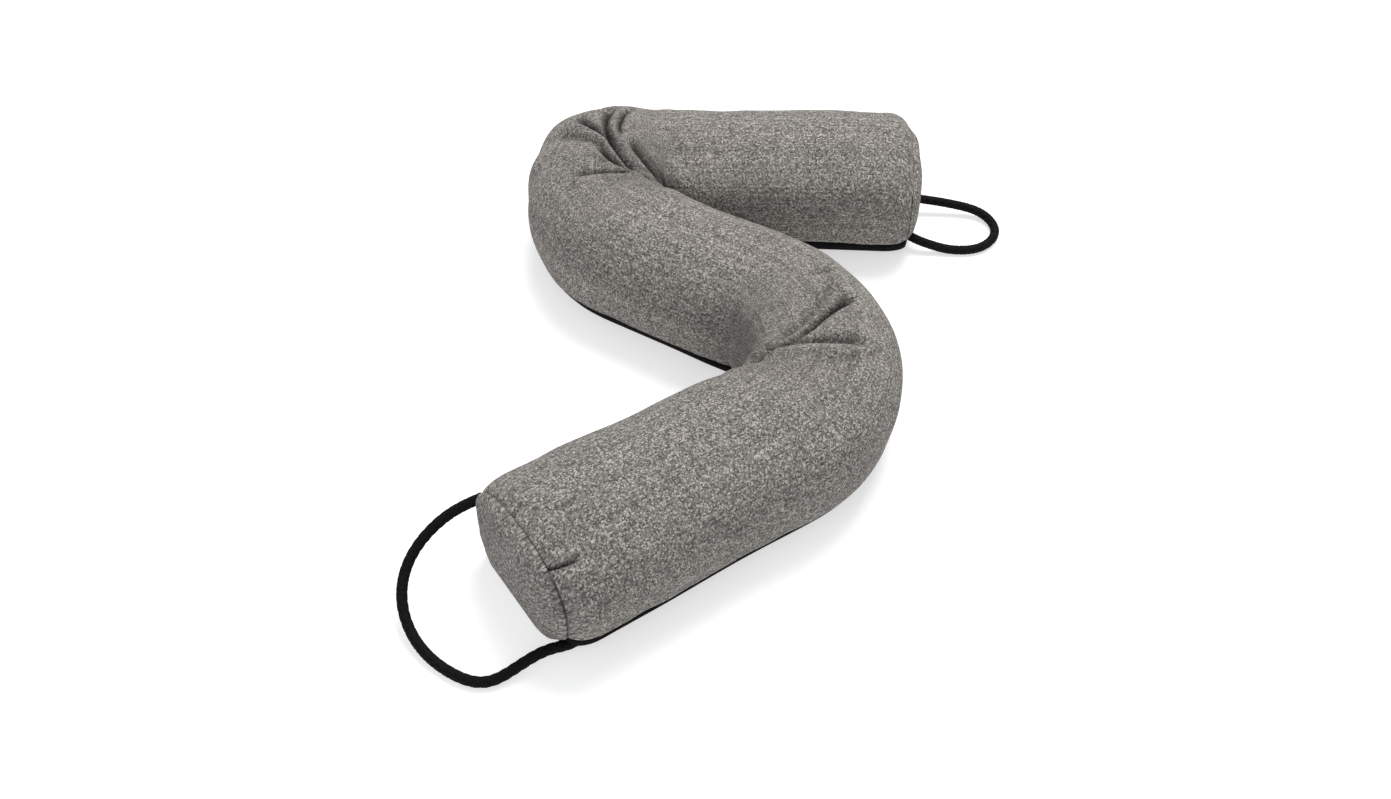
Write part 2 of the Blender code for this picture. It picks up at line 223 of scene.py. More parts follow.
# %% [markdown]
# ## The tube's middle line and section
# The tube is a section carried along a line on the floor. The line is given by its curvature, eased in
# and out of two bends and added up twice: once to a heading and once to a place. The section is
# flat where it rests, has round sides, and is arched on top. In a bend its inner half is pressed
# together, because the cloth there cannot pass the middle of the turn.

# %% The line along the tube
TUBE_WIDTH, TUBE_HEIGHT, WIDEST_AT, ARCH_POWER = 97.0, 75.0, 38.0, 2.05
START, START_HEADING, BEND_EASE = (130.3, 151.8), 177.0, 26.0
WAY = (
    # run, radius, turn
    (164.0, 42.0, 152.0),
    (95.5, 66.6, -114.7),
    (162.5, 66.6, 0.0),
)


def smooth(x):
    """0 below 0, 1 above 1, and between them a soft step."""
    x = np.clip(x, 0.0, 1.0)
    return x * x * (3.0 - 2.0 * x)


def bends():
    """Where each bend starts and ends along the tube and its turn, and the tube's length."""
    at, found = 0.0, []
    for run, radius, turn in WAY:
        length = radius * abs(np.radians(turn))
        found.append((at + run, at + run + length, turn))
        at += run + length
    return found[:-1], at


BENDS, LENGTH = bends()
BEYOND, FINE_COUNT = 20.0, 1473
FINE = np.linspace(-BEYOND, LENGTH + BEYOND, FINE_COUNT)


def curvature(fine):
    """The turn per mm: constant in each bend, with a soft step into it and out of it."""
    curve = np.zeros_like(fine)
    for start, end, turn in BENDS:
        rise = smooth(0.5 + (fine - start) / BEND_EASE)
        fall = smooth(0.5 + (fine - end) / BEND_EASE)
        curve += np.radians(turn) / (end - start) * (rise - fall)
    return curve


def lay(at):
    """Place and heading of the middle line: the curvature added up, and its direction added up."""
    step = FINE[1] - FINE[0]
    heading = np.radians(START_HEADING) + np.cumsum(curvature(FINE)) * step
    x, y = np.cumsum(np.cos(heading)) * step, np.cumsum(np.sin(heading)) * step
    x += START[0] - np.interp(0.0, FINE, x)
    y += START[1] - np.interp(0.0, FINE, y)
    return np.interp(at, FINE, x), np.interp(at, FINE, y), np.interp(at, FINE, heading)


def cloth_along(at):
    """Length of cloth up to each place: on the outer side of a bend the cloth is not stretched."""
    step = FINE[1] - FINE[0]
    cloth = np.cumsum(1.0 + np.abs(curvature(FINE)) * TUBE_WIDTH / 2.0) * step
    return np.interp(at, FINE, cloth)


print("tube along its middle, mm:", round(LENGTH, 1), "cloth, mm:",
      round(float(cloth_along(LENGTH) - cloth_along(0.0)), 1))

# %% The section and how it changes along the tube
SWELL = (
    # at, left, right, top
    (0.0, 0.99, 1.03, 1.03), (45.0, 0.99, 1.02, 1.02), (110.0, 0.99, 0.98, 1.0),
    (145.0, 0.99, 0.96, 0.98), (168.0, 0.99, 0.96, 0.98), (189.0, 0.99, 1.17, 1.08),
    (204.0, 0.99, 1.28, 1.11), (216.0, 0.99, 1.16, 1.06), (231.0, 0.99, 1.04, 1.03),
    (250.0, 0.99, 0.97, 1.03), (320.0, 0.96, 0.96, 1.0), (430.0, 1.02, 1.02, 1.0),
    (500.0, 1.065, 1.05, 1.0), (560.0, 1.03, 1.07, 1.0), (620.0, 1.05, 1.11, 1.03),
    (677.0, 1.06, 1.15, 1.03),
)
FOOT = (
    # at, half the flat to the left, to the right
    (0.0, 30.0, 30.0), (600.0, 30.0, 30.0), (677.0, 28.0, 42.0),
)
SQUEEZE_KEEP, SQUEEZE_ROOM = 31.0, 9.5  # mm from the middle line kept as they are, and room past them
SQUEEZE_BEFORE, SQUEEZE_EASE = 22.0, 30.0
ENDS = {
    # rounding along, drop on the left, on the right and on top, crown of the cap
    "back": (16.0, 7.0, 7.0, 11.0, 6.0),
    "front": (17.0, 10.0, 3.0, 5.0, 9.0),
}
STRIP_THICK, PANEL_THICK = 1.5, 1.5
INSIDE = 2.1  # mm from the seam's plane to where the cover's skin ends
END_SOFT = 0.93  # 1 would meet the seam at a right angle


def column(table, at, index):
    """One column of a table read at the given distances, with soft changes between its rows."""
    rows = np.array(table)
    row = np.clip(np.searchsorted(rows[:, 0], at, side="right") - 1, 0, len(rows) - 2)
    low, high = rows[row], rows[row + 1]
    part = smooth((at - low[..., 0]) / (high[..., 0] - low[..., 0]))
    return low[..., index] + (high[..., index] - low[..., index]) * part


def outline(at, angle):
    """The plain section: quarter ellipses for the sides, and over them one superellipse arch."""
    across, up = np.cos(np.radians(angle)), np.sin(np.radians(angle))
    half = TUBE_WIDTH / 2.0
    arch_u = half * np.sign(across) * np.abs(across) ** (2.0 / ARCH_POWER)
    arch_v = WIDEST_AT + (TUBE_HEIGHT - WIDEST_AT) * np.abs(up) ** (2.0 / ARCH_POWER)
    foot = np.where(angle > 90.0, column(FOOT, at, 2), column(FOOT, at, 1))
    side_u = np.where(angle > 90.0, -1.0, 1.0) * (foot + (half - foot) * np.abs(across))
    arch = (angle >= 0.0) & (angle <= 180.0)
    return np.where(arch, arch_u, side_u), np.where(arch, arch_v, WIDEST_AT * (1.0 + up))


def squeeze(u, at):
    """The inner half of the tube in a bend, pressed short of the middle of the turn."""
    for start, end, turn in BENDS:
        inner = np.sign(turn)
        amount = smooth((at - start + SQUEEZE_BEFORE) / SQUEEZE_EASE)
        amount = amount * smooth((end + SQUEEZE_BEFORE - at) / SQUEEZE_EASE)
        over = np.maximum(u * inner - SQUEEZE_KEEP, 0.0)
        pressed = inner * (SQUEEZE_KEEP + SQUEEZE_ROOM * np.tanh(over / SQUEEZE_ROOM))
        u = np.where(over > 0.0, u + (pressed - u) * amount, u)
    return u


def end_drop(at):
    """How far the left side, the right side and the top are drawn in towards the seam at each end: part
    of a round that meets the seam steeply."""
    drops = [np.zeros_like(at)] * 3
    for name, distance in (("back", at), ("front", LENGTH - at)):
        part = np.clip(1.0 - (distance - INSIDE) / ENDS[name][0], 0.0, 1.0)
        curve = (1.0 - np.sqrt(1.0 - (END_SOFT * part) ** 2)) / (1.0 - np.sqrt(1.0 - END_SOFT ** 2))
        drops = [drop + most * curve for drop, most in zip(drops, ENDS[name][1:4])]
    return drops


def shape(at, angle):
    """The section without creases: swollen, drawn in at the ends and pressed in the bends."""
    u, v = outline(at, angle)
    left, right, top = end_drop(at)
    swollen = np.where(u > 0.0, column(SWELL, at, 1), column(SWELL, at, 2))
    u = u * swollen * (1.0 - np.where(u > 0.0, left, right) / (TUBE_WIDTH / 2.0))
    return squeeze(u, at), v * column(SWELL, at, 3) * (1.0 - top / TUBE_HEIGHT)


ends_at, on_top = np.array([[INSIDE], [LENGTH - INSIDE]]), np.array([[90.0]])
print("height of the skin at its two ends, mm:", shape(ends_at, on_top)[1].ravel().round(1).tolist())

# %% [markdown]
# ## Folds, creases and puckers
# Cloth that is bent with its filling keeps its length on the outer side and has too much of it on the
# inner side. The spare cloth lies in a few deep creases that run up from the inner corner, with small
# wrinkles between them. The deep ones are rows of a table: where each crosses the top, how it leans
# and curls, how wide and deep it is. The small ones, the lumps of the filling and the puckers at the end
# seams are sums of waves.

# %% Creases as a table, the rest as waves
CREASES = (
    # inner side, at, lean, curl, width before, width after, depth, round from, round to, fold and painted
    # shade
    (1, 209.0, 66.0, 46.0, 3.4, 2.2, 8.0, 93.0, 124.0, 1.0),
    (1, 209.0, 66.0, 46.0, 3.2, 1.9, 7.0, 60.0, 90.0, 1.0),
    (1, 199.5, 56.0, 0.0, 2.8, 2.0, 5.5, 96.0, 111.0, 1.0),
    (1, 207.5, 12.0, 0.0, 3.4, 1.8, 6.0, 102.0, 118.0, 1.0),
    (1, 213.5, 5.0, 0.0, 1.8, 3.2, 3.2, 98.0, 122.0, 0.45),
    (1, 198.0, 30.0, 20.0, 9.0, 5.0, 5.5, 42.0, 68.0, 0.8),
    (1, 220.5, 66.0, 0.0, 4.4, 2.2, 7.5, 76.0, 91.0, 1.0),
    (1, 227.5, 50.0, 0.0, 2.2, 2.2, -1.8, 74.0, 94.0, 0.0),
    (1, 238.3, 10.0, 0.0, 2.6, 2.8, 4.2, 76.0, 103.0, 0.7),
    (1, 247.0, 5.0, 0.0, 5.0, 6.0, -2.2, 60.0, 104.0, 0.0),
    (1, 164.8, -28.0, 0.0, 4.0, 5.0, 1.8, 58.0, 78.0, 0.0),
    (1, 257.0, -30.0, 0.0, 6.0, 6.0, 1.4, 40.0, 85.0, 0.0),
    (-1, 424.0, 75.0, 40.0, 4.0, 4.5, 3.6, 66.0, 112.0, 0.3),
    (-1, 434.5, 75.0, 96.0, 4.0, 2.2, 8.0, 82.0, 112.0, 1.0),
    (-1, 434.5, 75.0, 96.0, 4.0, 2.6, 5.5, 46.0, 78.0, 0.6),
    (-1, 451.5, 23.0, 30.0, 3.0, 3.2, 4.6, 58.0, 114.0, 0.55),
    (-1, 461.5, 27.0, 0.0, 5.0, 5.0, -2.2, 48.0, 118.0, 0.0),
    (-1, 470.0, 45.0, 0.0, 2.5, 2.5, 1.4, 112.0, 128.0, 0.25),
    (-1, 400.0, 0.0, 0.0, 2.4, 2.4, 1.8, 108.0, 114.0, 0.4),
    (-1, 476.0, 20.0, 0.0, 6.0, 6.0, 1.2, 30.0, 75.0, 0.0),
)
CREASE_FADE = 13.0  # degrees over which a crease's ends run out
SHARPENED = 0.7
# share of a trough's width that gets painted shade, in a crease and in a pucker
CREASE_SHADE_WIDTH, PUCKER_SHADE_WIDTH = 0.8, 0.6
DEGREE = 0.8  # mm of cloth in a degree round the tube
WIDENING, PUCKER_FADE = 0.04, 1.6
PUCKERS = (
    # end, angle, half width, depth, length along, fold and painted shade
    ("front", 53.0, 1.5, 5.0, 13.0, 0.9),
    ("front", 47.0, 3.5, -1.2, 10.0, 0.0),
    ("front", 101.0, 2.5, 1.8, 7.0, 0.3),
    ("front", 78.0, 3.0, 0.9, 8.0, 0.0),
    ("front", 20.0, 3.0, 0.9, 8.0, 0.0),
    ("back", 28.0, 3.0, 1.0, 8.0, 0.0),
    ("back", 70.0, 3.0, 1.0, 9.0, 0.0),
)


def trough(away, fold_and_shade):
    """1 on the line of a crease, falling to both sides: sharp where the cloth is tucked in, else soft."""
    return np.exp(-away ** (2.0 - SHARPENED * fold_and_shade))


def crease_depth(at, angle):
    """Each crease is a trough across the tube, or a ridge where its depth is minus. Its line on the cloth
    is at + lean * t + curl * t * t, where t is 0 on top of the tube and 1 on its inner side. A pucker is
    a trough along the tube that widens and fades away from the seam; a degree round the tube is about
    0.8 mm. Also a painted shade mark for each point: how much the colour is darkened where the cloth is
    tucked in at the bottom of a crease or pucker, in a mark that is narrower than the trough."""
    depth, painted_fold_shade = np.zeros((2,) + np.broadcast(at, angle).shape)
    for side, start, lean, curl, before, after, deep, first, last, fold_and_shade in CREASES:
        turned = angle if side > 0 else 180.0 - angle
        t = 1.0 - turned / 90.0
        away = at - (start + lean * t + curl * t * t)
        away = np.abs(away) / np.where(away < 0.0, before, after)
        fade = smooth(1.0 + (turned - first) / CREASE_FADE) * smooth(1.0 + (last - turned) / CREASE_FADE)
        depth += deep * fade * trough(away, fold_and_shade)
        # painted shade: the tucked-in bottom of a crease is marked for a darker colour
        painted_fold_shade = np.maximum(painted_fold_shade, fold_and_shade * fade * np.exp(-(away / CREASE_SHADE_WIDTH) ** 2))
    for end, middle, half_width, deep, length, fold_and_shade in PUCKERS:
        distance = np.maximum((at if end == "back" else LENGTH - at) - INSIDE, 0.0)
        away = np.abs(angle - middle) * DEGREE / (half_width * (1.0 + WIDENING * distance))
        fade = smooth(PUCKER_FADE - distance / length)
        depth += deep * fade * trough(away, fold_and_shade)
        # painted shade: the same mark for the tucked-in bottom of a pucker
        painted_fold_shade = np.maximum(painted_fold_shade, fold_and_shade * fade * np.exp(-(away / PUCKER_SHADE_WIDTH) ** 2))
    return depth, painted_fold_shade


def waves(x, y, size, seed, count=9):
    """A field of hills about one size: a sum of sine waves of many directions, lengths and phases."""
    rng = np.random.default_rng(seed)
    total = 0.0
    for _ in range(count):
        direction, length = rng.uniform(0.0, np.pi), size * rng.uniform(0.7, 1.6)
        phase = rng.uniform(0.0, 6.28)
        turn = (np.cos(direction) * x + np.sin(direction) * y) * 2.0 * np.pi / length
        total = total + np.sin(turn + phase)
    return total / np.sqrt(count)


# depth, stretch along the tube, stretch round it, size, seed
LUMPS = ((0.45, 1.0, 1.0, 60.0, 3), (0.18, 1.0, 1.0, 22.0, 4))
WRINKLES = ((0.55, 1.0, 0.3, 17.0, 11), (0.12, 1.0, 0.5, 7.0, 21))
GATHERS = ((0.45, 0.15, 1.0, 17.0, 31), (0.2, 0.2, 1.0, 8.0, 41))
WRINKLES_REACH, WRINKLES_EASE = 30.0, 35.0
WRINKLES_UP_TO, WRINKLES_FADE = 105.0, 60.0
GATHERS_REACH = 11.0
STRIP_PART, STRIP_EASE = 62.0, 30.0


def small_depth(at, angle, around):
    """Lumps of the filling everywhere, wrinkles on the inner side of the bends, gathers at the seams:
    each is a sum of waves times a soft mask. All fade out where the strip holds the cloth flat."""
    def field(table, along, number=0):
        return sum(deep * waves(along * stretch, around * stretch_round, size, seed + number)
                   for deep, stretch, stretch_round, size, seed in table)

    depth = field(LUMPS, at)
    for number, (start, end, turn) in enumerate(BENDS):
        turned = angle if turn > 0 else 180.0 - angle
        inside = smooth((at - start + WRINKLES_REACH) / WRINKLES_EASE)
        inside = inside * smooth((end + WRINKLES_REACH - at) / WRINKLES_EASE)
        inside = inside * smooth(1.0 + (WRINKLES_UP_TO - turned) / WRINKLES_FADE)
        depth = depth + inside * field(WRINKLES, at, number)
    for number, distance in enumerate((at, LENGTH - at)):
        near = np.exp(-np.maximum(distance - INSIDE, 0.0) / GATHERS_REACH)
        depth = depth + near * field(GATHERS, distance, number)
    return depth * smooth((np.minimum(angle, 180.0 - angle) + STRIP_PART) / STRIP_EASE)


print("creases:", len(CREASES), "puckers:", len(PUCKERS))

# %% The surface of the tube
HALF_DEGREE = 0.5


def around_length(u, v):
    """Length of cloth round each ring, counted from the top of the section."""
    step = np.hypot(np.diff(u, axis=1), np.diff(v, axis=1))
    length = np.hstack([np.zeros((len(u), 1)), np.cumsum(step, axis=1)])
    return length - length[:, [length.shape[1] // 2]]


def skin(at, angle, inset=0.0, detail=True):
    """The tube's surface as u (to the left) and v (up): the creases, the small folds and the inset move
    each point of the plain section along its inward normal."""
    at = np.asarray(at, float)[:, None]
    angle = np.broadcast_to(np.asarray(angle, float), (len(at), np.shape(angle)[-1]))
    u, v = shape(at, angle)
    before_u, before_v = shape(at, np.clip(angle - HALF_DEGREE, -90.0, 270.0))
    after_u, after_v = shape(at, np.clip(angle + HALF_DEGREE, -90.0, 270.0))
    along_u, along_v = after_u - before_u, after_v - before_v
    size = np.hypot(along_u, along_v)
    depth = np.zeros(u.shape) + inset
    if detail:
        depth = depth + crease_depth(at, angle)[0] + small_depth(at, angle, around_length(u, v))
    return u - depth * along_v / size, v + depth * along_u / size


def place(at, u, v, out=0.0):
    """Points in metres of section points at distances along the tube, moved out along it."""
    x, y, heading = lay(np.asarray(at, float)[:, None])
    x = x - np.sin(heading) * u + np.cos(heading) * out
    y = y + np.cos(heading) * u + np.sin(heading) * out
    return np.stack([x, y, np.broadcast_to(v, np.shape(u))], -1) * MM


middle_u, middle_v = skin([LENGTH / 2.0], np.arange(-90.0, 271.0, 5.0))
print("halfway along, mm wide:", round(float(np.ptp(middle_u)), 1),
      "mm high:", round(float(middle_v.max()), 1))

# %% [markdown]
# ## The cover
# The cover is one grid of rings, close together in the bends and at the ends. Under the tube it lies
# inside the black strip, so its points step in there by the strip's thickness. At each end it closes
# in a dome just inside the cap. The real one would be a flat cloth sewn to a tube and stuffed; a
# function of distance and angle gives the same form and keeps the weave's direction.

# %% Build the cover
STRIP_RISE = (
    # at, left, right
    (0.0, 18.0, 6.0), (14.0, 15.0, 6.0), (200.0, 15.0, 6.0), (250.0, 8.0, 15.0), (350.0, 8.0, 15.0),
    (420.0, 8.0, 6.0), (475.0, 19.0, 6.0), (505.0, 17.0, 6.0), (600.0, 17.5, 6.0),
    (650.0, 19.5, 6.0), (677.0, 19.5, 6.0),
)
CAP_MIDDLE = 36.0
DOME_POWER = {"back": 0.9, "front": 0.7}
DOME_SIZES = (0.2, 0.5, 0.78, 0.93)
RING_STEPS = (1.9, 0.95, 0.8)  # mm between rings in a run, in a bend and at an end
MARKS, BEND_REACH, STEP_CHANGE = 4000, 40.0, 25.0
ARCH_STEPS, SIDE_STEPS, SIDE_POWER = 112, 15, 0.8
EDGE_GAP, EDGE_SLOPE = 0.05, 0.9  # mm over the strip's edge where the cover steps out, and how long it steps


def ring_marks(step_in_run, step_in_bend, step_at_end):
    """Distances of the rings: a density of rings per mm along the tube, added up and cut evenly."""
    fine = np.linspace(INSIDE, LENGTH - INSIDE, MARKS)
    step = np.full_like(fine, step_in_run)
    for start, end, _ in BENDS:
        inside = smooth((fine - start + BEND_REACH) / STEP_CHANGE)
        inside = inside * smooth((end + BEND_REACH - fine) / STEP_CHANGE)
        step = step + (step_in_bend - step_in_run) * inside
    edge = np.minimum(fine - INSIDE, LENGTH - INSIDE - fine)
    step = step_at_end + (step - step_at_end) * smooth(edge / STEP_CHANGE)
    total = np.concatenate([[0.0], np.cumsum(1.0 / step[:-1] * np.diff(fine))])
    return np.interp(np.linspace(0.0, total[-1], int(total[-1])), total, fine)


def rise_angle(rise):
    """The angle at which the section's side reaches a height."""
    return np.degrees(np.arcsin(rise / WIDEST_AT - 1.0))


def cover_angles(at, arch_steps):
    """Angles round the cover: under the strip, over its edge, up the side, over the top and down."""
    half = []
    for index in (1, 2):
        rise = column(STRIP_RISE, at, index)
        low, high = rise_angle(rise + EDGE_GAP), rise_angle(rise + EDGE_GAP + EDGE_SLOPE)
        part = np.linspace(0.0, 1.0, SIDE_STEPS + 1)[:-1] ** SIDE_POWER
        half.append(np.column_stack([np.full(len(at), -90.0), low, high[:, None] * (1.0 - part)]))
    arch = np.broadcast_to(np.linspace(0.0, 180.0, arch_steps + 1), (len(at), arch_steps + 1))
    return np.hstack([half[0], arch, 180.0 - half[1][:, ::-1]])


def domed(ring_u, ring_v, end, inset, sizes):
    """Rings of a dome over one end: the section made smaller about a middle point, and moved out by the
    crown times (1 - size ** 3) ** power, which is steep at the rim and flat in the middle."""
    at, sign = (0.0, -1.0) if end == "back" else (LENGTH, 1.0)
    out = ENDS[end][4] * (1.0 - sizes ** 3) ** DOME_POWER[end] - inset
    u, v = ring_u * sizes[:, None], CAP_MIDDLE + (ring_v - CAP_MIDDLE) * sizes[:, None]
    return place(np.full(len(sizes), at), u, v, sign * out[:, None])


def make_cover():
    """Rings of skin from seam to seam, with a dome of a few rings inside each cap, and the painted
    shade of the creases stored on each point as an attribute.
    """
    at = ring_marks(*RING_STEPS)
    angle = cover_angles(at, ARCH_STEPS)
    inset = np.zeros(angle.shape[1])
    inset[[0, 1, -2, -1]] = STRIP_THICK + EDGE_GAP
    u, v = skin(at, angle, inset)
    rings = place(at, u, v)
    sizes = np.array(DOME_SIZES)
    back = domed(u[:1], v[:1], "back", INSIDE, sizes)
    front = domed(u[-1:], v[-1:], "front", INSIDE, sizes[::-1])
    plain_u, plain_v = shape(at[:, None], angle)
    uv = np.stack(np.broadcast_arrays(cloth_along(at)[:, None], around_length(plain_u, plain_v)), -1) * MM
    dome_uv = np.zeros((len(sizes), angle.shape[1], 2))
    piece = ring_piece("cloth_cover", np.vstack([back, rings, front]), np.vstack([dome_uv, uv, dome_uv]))
    # painted shade: the crease shade mark of each skin point, 0 on the domes, goes into a point attribute
    painted_fold_shade = np.zeros(len(piece.data.vertices))
    painted_fold_shade[len(sizes) * angle.shape[1]:][:angle.size] = crease_depth(at[:, None], angle)[1].ravel()
    piece.data.attributes.new("fold_and_shade", "FLOAT", "POINT").data.foreach_set("value", painted_fold_shade)
    return piece


cover = make_cover()
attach(cover, "root")
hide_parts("cover")
print("cover quads:", len(cover.data.polygons))

# %% [markdown]
# ## The end caps
# A round of the same cloth closes each end. The filling pushes it out into a low dome, and its edge
# is gathered into the seam. It is a polar grid: rings of the end's section from the rim to the middle,
# outside and inside, with short puckers that die away from the seam. The back cap's rim is drawn in and
# thin, so that its seam hardly shows.

# %% Build the two caps
RIM_DRAWN = {"back": 1.85, "front": 0.0}
RIM_SHARE, RIM_THICK = 0.16, 0.1  # share of the radius that is drawn in, and mm of thickness at the rim
PUCKERED = {"back": 0.4, "front": 1.0}
CAP_LIFT, CAP_RADIUS, CAP_ARCH_STEPS, CAP_RINGS = 0.3, 45.0, 104, 34
PUCKER_REACH, PUCKER_START, CAP_FOOT = 7.0, 0.8, 8.0


def make_cap(end):
    """An outer dome, a rim turned into the seam and an inner dome, with the cloth's thickness between. A
    drawn rim is pulled in and thin, and over its outer sixth it comes out to the full dome. Puckers are
    waves round the rim that start just inside it and fade towards the middle and the floor."""
    at = np.array([INSIDE if end == "back" else LENGTH - INSIDE])
    angle = cover_angles(at, CAP_ARCH_STEPS)
    u, v = shape(at[:, None], angle)
    v = CAP_LIFT + v * (1.0 - CAP_LIFT / TUBE_HEIGHT)
    sizes = np.sin(np.linspace(0.06, 1.0, CAP_RINGS) * np.pi / 2.0)[::-1]
    inside = smooth((1.0 - sizes) / RIM_SHARE)
    drawn = RIM_DRAWN[end] * (1.0 - inside)
    thick = PANEL_THICK if RIM_DRAWN[end] == 0.0 else RIM_THICK + (PANEL_THICK - RIM_THICK) * inside
    outer = domed(u, v, end, drawn, sizes)
    inner = domed(u, v, end, drawn + thick, sizes)
    arc = around_length(u, v)
    rim_away = (1.0 - sizes[:, None]) * CAP_RADIUS
    near = np.exp(-rim_away / PUCKER_REACH) * (1.0 - np.exp(-rim_away / PUCKER_START))
    pucker = near * (0.5 * waves(arc, 0.0, 9.0, 51) + 0.3 * waves(arc, 0.0, 4.5, 52)) * PUCKERED[end]
    pucker = pucker + 0.35 * waves(u * sizes[:, None], v * sizes[:, None], 30.0, 53)
    heading = lay(at)[2][0] + (np.pi if end == "back" else 0.0)
    push = np.array([np.cos(heading), np.sin(heading), 0.0]) * MM
    low = smooth((v - 1.0) / CAP_FOOT)
    outer = outer - (pucker * low)[..., None] * push * (1.0 - sizes ** 16)[:, None, None]
    uv = np.stack([u * sizes[:, None], CAP_MIDDLE + (v - CAP_MIDDLE) * sizes[:, None]], -1) * MM
    return ring_piece("cloth_cap_" + end, np.vstack([outer[::-1], inner]), np.vstack([uv[::-1], uv]))


caps = [make_cap("back"), make_cap("front")]
for cap, node in zip(caps, ("end_panel_back", "end_panel_front")):
    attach(cap, "root")
    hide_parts(node)
    print(cap.name, "quads:", len(cap.data.polygons))

# %% [markdown]
# ## The base strip
# A strip of black cloth is sewn under the tube, so that the part that drags on the floor does not show
# dirt and does not slide. It is a thin channel: its edges turn up the tube's sides and end in a fold. It
# follows the same section functions as the cover, from the seam at one end to the other.

# %% Build the strip
STRIP_STEPS = (2.4, 1.6, 1.4)  # mm between rings in a run, in a bend and at an end
HALF_COLUMNS = 6
EDGE_CROWN = 0.4


def make_strip():
    """Rings of a channel: outside from the left edge to the right edge, then back along the inside. Its
    two edges are rounded by a point between outside and inside that stands a little higher."""
    at = ring_marks(*STRIP_STEPS)
    left, right = rise_angle(column(STRIP_RISE, at, 1)), rise_angle(column(STRIP_RISE, at, 2))
    part = np.linspace(0.0, 1.0, HALF_COLUMNS)
    left_half = left[:, None] + (-90.0 - left[:, None]) * part
    right_half = 180.0 - (-90.0 + (right[:, None] + 90.0) * part)
    angle = np.hstack([left_half, right_half])
    outer = place(at, *skin(at, angle, detail=False))
    inner = place(at, *skin(at, angle, STRIP_THICK, detail=False))
    rims = 0.5 * (outer[:, [0, -1]] + inner[:, [0, -1]]) + np.array([0.0, 0.0, EDGE_CROWN]) * MM
    rings = np.hstack([outer, rims[:, 1:], inner[:, ::-1], rims[:, :1]])
    cloth = np.broadcast_to(cloth_along(at)[:, None] * MM, rings.shape[:2])
    step = np.linalg.norm(np.diff(rings, axis=1), axis=2)
    around = np.hstack([np.zeros((len(at), 1)), np.cumsum(step, axis=1)])
    return ring_piece("base_strip", rings, np.stack([cloth, around], -1))


strip = make_strip()
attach(strip, "root")
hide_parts("base_panel")
float(cloth_along(LENGTH) - cloth_along(0.0)) * MM
print("strip quads:", len(strip.data.polygons))

# %% [markdown]
# ## The grey linen weave
# The cloth is a plain weave of uneven yarns, some pale, some dark, so it looks flecked. The group below
# makes it from the cloth's UV map in metres. One set of yarns runs along the tube and one round it; each
# yarn has its own tone and thick and thin stretches, and a checker says which of the two lies on top.
# A group keeps this in one place for the grey cloth and for the black strip.

# %% A node group for woven cloth
def node(tree, kind, inputs=(), **settings):
    """A new node with its settings, and its inputs linked from sockets or set to values. An input is
    given by name or number: a Mix node has its factor at 0, numbers at 2 and 3, colours at 6 and 7."""
    made = tree.nodes.new(kind)
    for key, value in settings.items():
        setattr(made, key, value)
    for key, value in dict(inputs).items():
        if isinstance(value, bpy.types.NodeSocket):
            tree.links.new(value, made.inputs[key])
        else:
            made.inputs[key].default_value = value
    return made


def sums(tree, operation, first, second=0.0, third=0.0):
    """One math node; its output."""
    return node(tree, "ShaderNodeMath", {0: first, 1: second, 2: third}, operation=operation).outputs[0]


WOBBLE_SCALE, WOBBLE = 120.0, 0.0003
YARN_STRETCH, ROW_APART, OTHER_SET = 0.3, 7.31, 57.3
TONE_OF_YARN, TONE_OF_CROSSING, TONE_OF_ROW = 0.38, 0.5, 0.12


